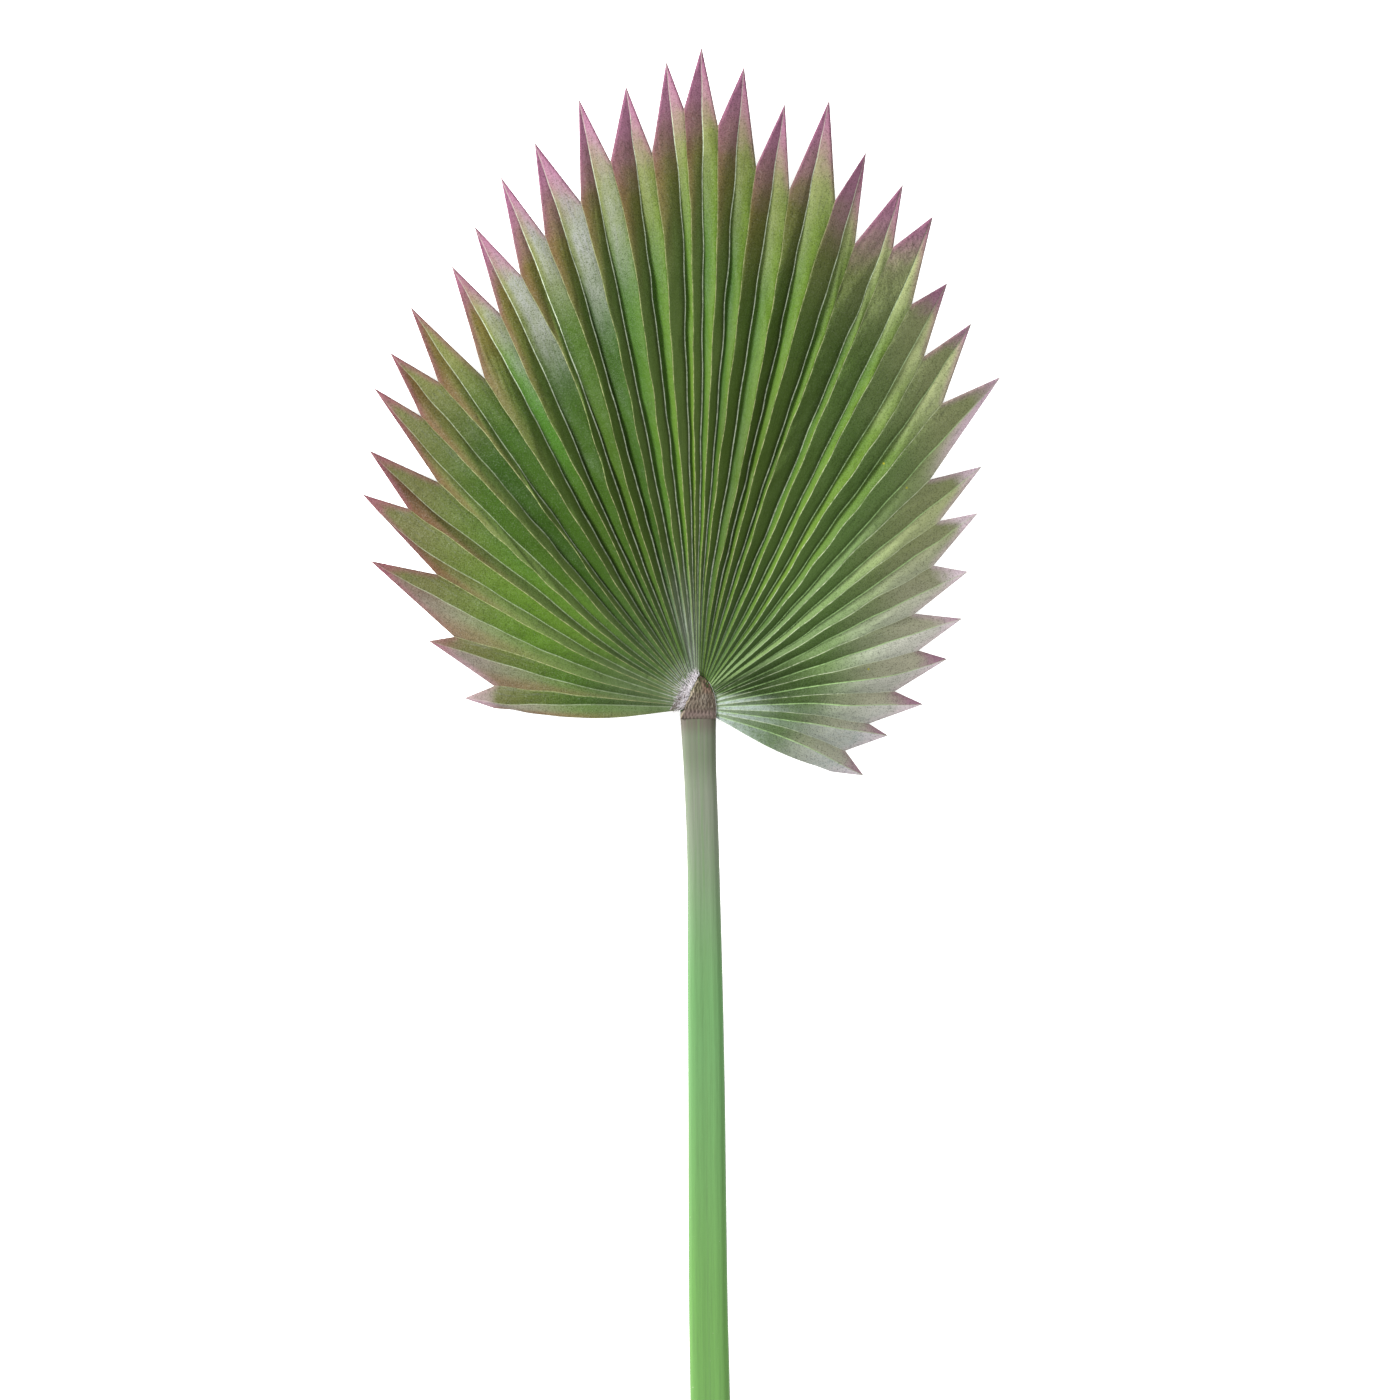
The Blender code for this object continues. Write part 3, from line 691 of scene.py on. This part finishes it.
stalk = dict(
    # y, middle and width, mm from the hub
    course=((-510, 8.6, 26.8), (-470, 8.0, 26.4), (-403, 6.6, 25.7), (-336, 6.0, 25.1),
            (-271, 5.6, 24.4), (-220, 5.0, 23.7), (-172, 4.3, 22.8), (-139, 3.9, 21.7),
            (-106, 3.3, 21.2), (-73, 2.1, 21.4), (-40, 0.7, 21.8), (-18, 0.0, 23.4)),
    deep=(18.0, 17.0), lift=8.0, flatTo=-470, topShare=0.36, underCut=0.86,
    crease=0.7, creaseSpread=1.25, topRound=0.5,  # a nearly flat top with a broad, shallow channel
    tongueTop=17.0, tongue=((-9, 0.90, 8.9), (1, 0.70, 10.6), (11, 0.46, 12.6), (21, 0.20, 14.8)),
    around=96, rings=150,
    groove=0.04, grooves=17,  # height and number of the fine ridges along the stalk
)


def stalkSection(y, middle, width, deep, under, squash=1.0, hollow=1.0):
    s = stalk
    a = 2 * math.pi * np.arange(s["around"]) / s["around"]
    top = deep * s["topShare"]
    belly = deep - top
    up = np.sin(a) >= 0
    channel = hollow * s["crease"] * smooth(1 - s["creaseSpread"] * np.abs(np.cos(a)))
    upper = top * np.abs(np.sin(a)) ** s["topRound"] - channel
    lower = np.maximum(belly * np.sin(a), -belly * s["underCut"]) / s["underCut"]
    ridge = s["groove"] * np.cos(s["grooves"] * a + 0.4 * np.sin(y / 60)) * np.abs(np.sin(a)) * up
    x = middle + squash * width / 2 * np.cos(a)
    z = under + belly + np.where(up, upper, lower) + ridge - s["groove"] * up * np.abs(np.sin(a))
    return np.column_stack((x, np.full_like(x, y), z)), a


def buildStalk():
    s = stalk
    first, last = s["course"][0][0], s["course"][-1][0]
    ys = np.append(np.linspace(first, last - 0.06, s["rings"]), last)
    known = np.array(s["course"])
    fine = np.linspace(first, last, 600)
    kernel = np.ones(41) / 41

    def smoothed(column):
        values = np.interp(fine, known[:, 0], known[:, column])
        values = np.pad(values, len(kernel) // 2, mode="reflect", reflect_type="odd")
        return np.interp(ys, fine, np.convolve(values, kernel, "valid"))

    middles, widths = smoothed(1), smoothed(2)
    ringList, angles, lengths = [], [], []

    def addRing(ring, a, along):
        ringList.append(ring)
        angles.append(a)
        lengths.append(np.full_like(a, along))

    for y, middle, width in zip(ys, middles, widths):
        along = (y - first) / (last - first)
        under = s["lift"] * float(smooth((y - s["flatTo"]) / (last - s["flatTo"])))
        hollow = mix(1.0, 0.35, float(smooth((along - 0.6) / 0.35)))  # shallower towards the collar
        ring, a = stalkSection(y, middle, width, mix(*s["deep"], along), under, hollow=hollow)
        addRing(ring, a, along)
    shoulder = ringList[-1].copy()
    shoulder[:, 2] = np.minimum(shoulder[:, 2], s["tongueTop"])
    addRing(shoulder, a, 1.0)
    for y, part, under in s["tongue"]:
        ring, a = stalkSection(y, middles[-1], widths[-1],
                               (s["tongueTop"] - under) / (1 - s["topShare"]) * 1.02, under, part)
        ring[:, 2] = np.minimum(ring[:, 2], s["tongueTop"])
        addRing(ring, a, 1.0)
    points = list(np.concatenate(ringList))
    n = s["around"]
    faces = []
    for r in range(len(ringList) - 1):
        for k in range(n):
            a, b = r * n + k, r * n + (k + 1) % n
            faces.append((a, a + n, b + n, b))
    for ring, front in ((0, True), (len(ringList) - 1, False)):
        points.append(ringList[ring].mean(axis=0))
        hub = len(points) - 1
        for k in range(n):
            a, b = ring * n + k, ring * n + (k + 1) % n
            faces.append((hub, a, b) if front else (hub, b, a))
    along = np.concatenate(lengths + [np.array([0.0, 1.0])])
    turned = np.concatenate(angles + [np.full(2, math.pi / 2)])
    marks = dict(along=along, side=np.abs(np.cos(turned)), upward=np.sin(turned))
    return np.array(points), faces, marks


stalkFinish = dict(
    low=seen(112, 167, 82, 0.50), middle=seen(111, 164, 98, 0.50), high=seen(138, 146, 126, 0.47),
    grey=seen(124, 130, 108, 0.40), neck=seen(132, 118, 106, 0.30), edge=seen(152, 138, 142, 0.45),
    streak=seen(104, 146, 84, 0.45), speck=seen(214, 222, 196, 0.5), roughness=0.5, specular=0.2,
)


def stalkMaterial():
    f = stalkFinish
    n = Nodes("stalkGreen")
    along, side, upward = n.mark("along"), n.mark("side"), n.mark("upward")
    drift = n.noise(9, detail=3, seed=2.2)
    fibres = n.noise(60, detail=5, roughness=0.65, stretch=(14, 0.35, 14), seed=4.4)
    specks = n.noise(330, detail=1, seed=8.1)
    place = n.math("ADD", along, n.times(n.math("SUBTRACT", drift, 0.5), 0.10))
    tone = n.blend(n.ramp(place, 0.15, 0.6), f["low"], f["middle"])
    tone = n.blend(n.ramp(place, 0.6, 0.92), tone, f["high"])
    tone = n.blend(n.ramp(along, 0.90, 0.955, 0.0, 0.75), tone, f["grey"])
    tone = n.blend(n.ramp(along, 0.972, 0.997, 0.0, 0.85), tone, f["neck"])
    tone = n.blend(n.ramp(fibres, 0.42, 0.72, 0.0, 0.35), tone, f["streak"])
    flankOnly = n.times(side, n.ramp(upward, -0.4, 0.0))
    tone = n.blend(n.ramp(flankOnly, 0.95, 1.0, 0.0, 0.7), tone, f["edge"])
    tone = n.blend(n.ramp(side, 0.10, 0.02, 0.0, 0.25), tone, f["streak"])
    tone = n.blend(n.ramp(specks, 0.79, 0.83, 0.0, 0.6), tone, f["speck"])
    normal = n.bump(fibres, 0.25, 0.0005)
    rough = n.math("ADD", f["roughness"], n.times(n.math("SUBTRACT", fibres, 0.5), 0.3))
    return n.finish(tone, rough, normal, f["specular"])


stalkPoints, stalkFaces, stalkMarks = buildStalk()
makePiece("leafStalk", inBox(stalkPoints), stalkFaces, stalkMaterial(), "stalk",
          stalkMarks)
print("stalk made")


# collar: the dry brown flap where the folds meet the stalk

collar = dict(
    gap=0.15, foot=-17.9, centre=(0.0, -6.0),  # in plan, mm from the hub
    base=17.3, rim=24.0, dome=2.2, top=27.2,  # heights, mm
    around=180, rings=40,
    apex=(-0.5, 8.2), leftEnd=(-8.6, -9.5), rightEnd=(9.3, -0.5),  # the sloping edges of the flap, mm
    step=0.9,  # how much lower the fold ends are than the flap
    wrinkle=0.12, footRise=0.75, roll=0.6, foldRidge=0.3,
)


def outsideFlap(x, y):
    # how far a point is out past the left and the right sloping edge of the flap, in mm
    c = collar
    reaches = []
    sway = 0.35 * waves(x, y, 77, 5.0, 4)  # ragged edges
    for end, turn in ((c["leftEnd"], 1), (c["rightEnd"], -1)):
        run = np.array(end) - c["apex"]
        run = run / np.linalg.norm(run)
        out = np.array((run[1], -run[0])) * turn
        reaches.append((x - c["apex"][0]) * out[0] + (y - c["apex"][1]) * out[1] + sway)
    return reaches


def buildCollar():
    c = collar
    arch = [archPoint(90 + b, c["gap"]) for b in np.linspace(112, -112, c["around"] - 40)]
    right, left = arch[-1], arch[0]
    footLine = [np.array((mix(right[0], left[0], t), c["foot"])) for t in np.linspace(0, 1, 40)]
    outline = np.array(arch + footLine)
    centre = np.array(c["centre"])
    n = len(outline)
    shares = 1 - np.linspace(0, 1, c["rings"], endpoint=False) ** 1.1
    shares = np.insert(shares, 1, 0.996)
    points = [np.column_stack((outline, np.full(n, c["base"])))]
    leftMarks, rightMarks = [np.ones(n) * 3], [np.ones(n) * 3]
    for share in shares:
        plan = mix(centre, outline, share)
        x, y = plan[:, 0], plan[:, 1]
        pastLeft, pastRight = outsideFlap(x, y)
        z = c["rim"] + c["dome"] * (1 - share ** 2)
        fan = np.arctan2(x, y + 30.0)  # fibres fan up from the foot
        z = z + c["wrinkle"] * np.sin(fan * 120 + 1.6 * np.sin(y * 0.7)) + 0.25 * waves(x, y, 31, 3.2)
        for past, height in ((pastLeft, 1.0), (pastRight, 0.5)):
            z = z + c["roll"] * height * np.exp(-((past + 0.7) / 0.6) ** 2)
        past = np.maximum(pastLeft, pastRight)
        outer = smooth(past / 0.7)
        z = z - c["step"] * outer
        spread = np.degrees(np.arctan2(y + 4.0, x))
        z = z + c["foldRidge"] * outer * np.cos(spread * math.radians(360 / 9.0))
        foot = smooth((-13.5 - y) / 3.0)  # level with the stalk there
        z = z - 0.5 * smooth((share - 0.95) / 0.05) * (1 - foot) + foot * c["footRise"]
        points.append(np.column_stack((x, y, np.clip(z, c["base"] + 1, c["top"]))))
        leftMarks.append(pastLeft)
        rightMarks.append(pastRight)
    points.append(np.array([[centre[0], centre[1], c["rim"] + c["dome"]]]))
    leftMarks.append(np.array([-5.0]))
    rightMarks.append(np.array([-5.0]))
    faces = []
    for r in range(len(shares)):
        for k in range(n):
            a, b = r * n + k, r * n + (k + 1) % n
            faces.append((a, b, b + n, a + n))
    peak, top = (len(shares) + 1) * n, len(shares) * n
    for k in range(n):
        faces.append((peak, top + k, top + (k + 1) % n))
    faces.append(tuple(range(n))[::-1])
    marks = dict(pastLeft=np.concatenate(leftMarks), pastRight=np.concatenate(rightMarks))
    return np.concatenate(points), faces, marks


collarFinish = dict(
    brown=seen(148, 136, 120, 0.36), dark=seen(108, 92, 80, 0.36), pale=seen(182, 172, 156, 0.38),
    mauve=seen(150, 130, 124, 0.36), olive=seen(122, 118, 84, 0.42), red=seen(150, 116, 106, 0.44),
    cream=seen(206, 192, 168, 0.42), foot=seen(140, 128, 114, 0.32), lilac=seen(206, 198, 204, 0.56),
    leaf=seen(92, 122, 70, 0.36), white=seen(230, 226, 228, 0.66), roughness=0.85, specular=0.08,
)


def collarMaterial():
    f = collarFinish
    n = Nodes("collarBrown")
    place = n.add("ShaderNodeSeparateXYZ")
    n.plug(n.add("ShaderNodeTexCoord").outputs["Object"], place.inputs[0])
    along, sideways = place.outputs["Y"], place.outputs["X"]
    hubX, hubY = float(hubAt[0]) * mm, float(hubAt[1]) * mm
    pastLeft, pastRight = n.mark("pastLeft"), n.mark("pastRight")
    fibres = n.noise(420, detail=5, roughness=0.7, stretch=(2.2, 0.8, 1), seed=1.1)
    blotch = n.noise(260, detail=4, roughness=0.65, seed=6.6)
    tone = n.blend(n.ramp(fibres, 0.32, 0.62), f["dark"], f["brown"])
    tone = n.blend(n.ramp(blotch, 0.50, 0.72, 0.0, 0.7), tone, f["pale"])
    upper = n.ramp(along, hubY - 0.004, hubY + 0.003)
    tone = n.blend(n.times(upper, 0.55), tone, f["olive"])
    reddish = n.times(upper, n.ramp(sideways, hubX + 0.001, hubX + 0.005, 0.0, 0.7))
    tone = n.blend(reddish, tone, f["red"])
    tone = n.blend(n.ramp(along, hubY - 0.0105, hubY - 0.0145, 0.0, 0.75), tone, f["mauve"])
    tone = n.blend(n.ramp(along, hubY - 0.0150, hubY - 0.0182, 0.0, 0.6), tone, f["foot"])
    roll = n.times(n.ramp(pastLeft, -1.4, -0.8), n.ramp(pastLeft, 0.1, -0.5))
    tone = n.blend(n.times(roll, n.ramp(blotch, 0.38, 0.58, 0.1, 0.9)), tone, f["cream"])
    outLeft, outRight = n.ramp(pastLeft, -0.1, 0.5), n.ramp(pastRight, -0.1, 0.5)
    web = n.blend(n.ramp(fibres, 0.44, 0.66, 0.0, 0.6), f["leaf"], f["mauve"])
    tone = n.blend(outRight, tone, n.blend(n.ramp(fibres, 0.42, 0.62), f["leaf"], f["red"]))
    tone = n.blend(outLeft, tone, web)
    normal = n.bump(fibres, 0.6, 0.0007)
    return n.finish(tone, f["roughness"], normal, f["specular"])


collarPoints, collarFaces, collarMarks = buildCollar()
makePiece("leafCollar", inBox(collarPoints), collarFaces, collarMaterial(), "collar",
          collarMarks)
print("collar made")


# pale frayed fibres that the collar leaves over the starts of the folds

fringe = dict(
    count=520, sides=5, rings=7, thick=(0.07, 0.17), seed=12,
    length=(2.5, 11.0), lowLength=(1.2, 3.6),  # shortest and longest strand, mm; most are short
    lowStrands=190,  # of them, the scaly brown ones that lie across the lower left
    level=24.2, climb=0.17,  # they start at this height and rise with the folds under them
)


def buildFringe():
    g = fringe
    rng = np.random.RandomState(g["seed"])
    points, faces, scaly = [], [], []
    apex, leftEnd = np.array(collar["apex"]), np.array(collar["leftEnd"])
    for number in range(g["count"]):
        low = number < g["lowStrands"]
        if low:
            t = rng.uniform(0.55, 1.2)
            start = mix(apex, leftEnd, t) + (rng.uniform(-8.0, 0.6), rng.uniform(-2.0, 3.0))
            lean = math.radians(rng.uniform(20, 70) + 180 * rng.randint(2))
            length = rng.uniform(*g["lowLength"])
        else:
            t = rng.uniform(-0.12, 1.0)
            start = mix(apex, leftEnd, t) + (rng.uniform(-2.0, 0.3), rng.uniform(-0.6, 0.6))
            lean = math.atan2(start[1] + 4.0, start[0] - 2.0) + rng.normal(0, 0.22)
            length = mix(*g["length"], rng.uniform() ** 2.2)
            length *= 0.6 + 0.4 * math.sin(math.pi * max(0, t))
        thick = rng.uniform(*g["thick"])
        curl = rng.uniform(-0.4, 0.4)
        place, lift = start.copy(), rng.uniform(0.3, 0.9)
        base = len(points)
        for r in range(g["rings"]):
            t = r / (g["rings"] - 1)
            heading = lean + curl * t
            forward = np.array((math.cos(heading), math.sin(heading)))
            sideways = np.array((-forward[1], forward[0]))
            radius = thick * (1 - 0.7 * t)
            rise = g["climb"] * max(0.0, float(np.linalg.norm(place)) - 12.0)
            z = g["level"] + lift + rise + 0.25 * math.sin(3 * t + curl * 5)
            for k in range(g["sides"]):
                a = 2 * math.pi * k / g["sides"]
                off = sideways * radius * math.cos(a) * 1.4
                points.append((place[0] + off[0], place[1] + off[1], z + radius * math.sin(a)))
                scaly.append(float(low))
            place = place + forward * length / (g["rings"] - 1)
        n = g["sides"]
        for r in range(g["rings"] - 1):
            for k in range(n):
                a, b = base + r * n + k, base + r * n + (k + 1) % n
                faces.append((a, b, b + n, a + n))
        faces.append(tuple(base + k for k in range(n))[::-1])
        faces.append(tuple(base + (g["rings"] - 1) * n + k for k in range(n)))
    return np.array(points), faces, dict(scaly=scaly)


def fringeMaterial():
    f = collarFinish
    n = Nodes("fringePale")
    patch = n.noise(420, detail=3, seed=1.9)
    tone = n.blend(n.ramp(n.noise(700, detail=3), 0.35, 0.65), f["lilac"], f["white"])
    scaly = n.blend(n.ramp(patch, 0.40, 0.60), f["mauve"], f["lilac"])
    tone = n.blend(n.times(n.mark("scaly"), 0.9), tone, scaly)
    normal = n.bump(n.noise(1600, detail=2, seed=3), 0.4, 0.0003)
    return n.finish(tone, 0.8, normal, 0.1)


fringePoints, fringeFaces, fringeMarks = buildFringe()
makePiece("collarFringe", inBox(fringePoints), fringeFaces, fringeMaterial(), None,
          fringeMarks)
print("fringe made:", fringe["count"], "fibres")


# floor, light and camera

stageLook = dict(
    floor=(0.95, 0.95, 0.945), floorSpot=(0.96, 0.96, 0.955),
    photoSpan=0.918, cameraHeight=8.0, leafHeight=0.015,  # m; the picture shows photoSpan at leafHeight
    centre=(1.2, -5.7), sensor=36, farEnd=60,
    key=dict(place=(-2.35, 0.85, 1.05), power=227, size=0.5),
    top=dict(place=(0.2, 0.4, 3.2), power=75.5, size=3.0),
    lampsAim=(0, 0.15, 0),  # at the middle of the blade
    floorHalf=6, floorLevel=-0.0004, sky=1.0, floorGlow=0.6,  # it glows a little, as a light table does
)


def floorMaterial():
    n = Nodes("studioFloor")
    tone = n.blend(n.noise(6, detail=2), stageLook["floor"], stageLook["floorSpot"])
    n.shader.inputs["Emission Color"].default_value = (1, 1, 1, 1)
    n.shader.inputs["Emission Strength"].default_value = stageLook["floorGlow"]
    return n.finish(tone, 0.9, specular=0.1)


def buildStage():
    s = stageLook
    mesh = bpy.data.meshes.new("floor")
    half, low = s["floorHalf"], s["floorLevel"]
    corners = [(-half, -half, low), (half, -half, low), (half, half, low), (-half, half, low)]
    mesh.from_pydata(corners, [], [(0, 1, 2, 3)])
    mesh.materials.append(floorMaterial())
    floor = bpy.data.objects.new("floor", mesh)
    bpy.context.scene.collection.objects.link(floor)

    for name in ("key", "top"):
        lamp = bpy.data.lights.new(name + "Light", "AREA")
        lamp.energy, lamp.size = s[name]["power"], s[name]["size"]
        item = bpy.data.objects.new(name + "Light", lamp)
        item.location = s[name]["place"]
        aim = Vector(s["lampsAim"]) - Vector(item.location)
        item.rotation_euler = aim.to_track_quat("-Z", "Y").to_euler()
        bpy.context.scene.collection.objects.link(item)

    world = bpy.data.worlds.new("studio")
    world.use_nodes = True
    world.node_tree.nodes["Background"].inputs["Color"].default_value = (1, 1, 1, 1)
    world.node_tree.nodes["Background"].inputs["Strength"].default_value = s["sky"]
    bpy.context.scene.world = world
    bpy.context.scene.view_settings.view_transform = "Standard"
    bpy.context.scene.view_settings.look = "None"

    lens = bpy.data.cameras.new("photoCamera")
    lens.sensor_width = s["sensor"]
    lens.lens = s["sensor"] * (s["cameraHeight"] - s["leafHeight"]) / s["photoSpan"]
    lens.clip_end = s["farEnd"]
    camera = bpy.data.objects.new("photoCamera", lens)
    east, north = s["centre"]
    camera.location = ((hubAt[0] + east) * mm, (hubAt[1] + north) * mm, s["cameraHeight"])
    bpy.context.scene.collection.objects.link(camera)
    bpy.context.scene.camera = camera


buildStage()
print("stage, light and camera set")
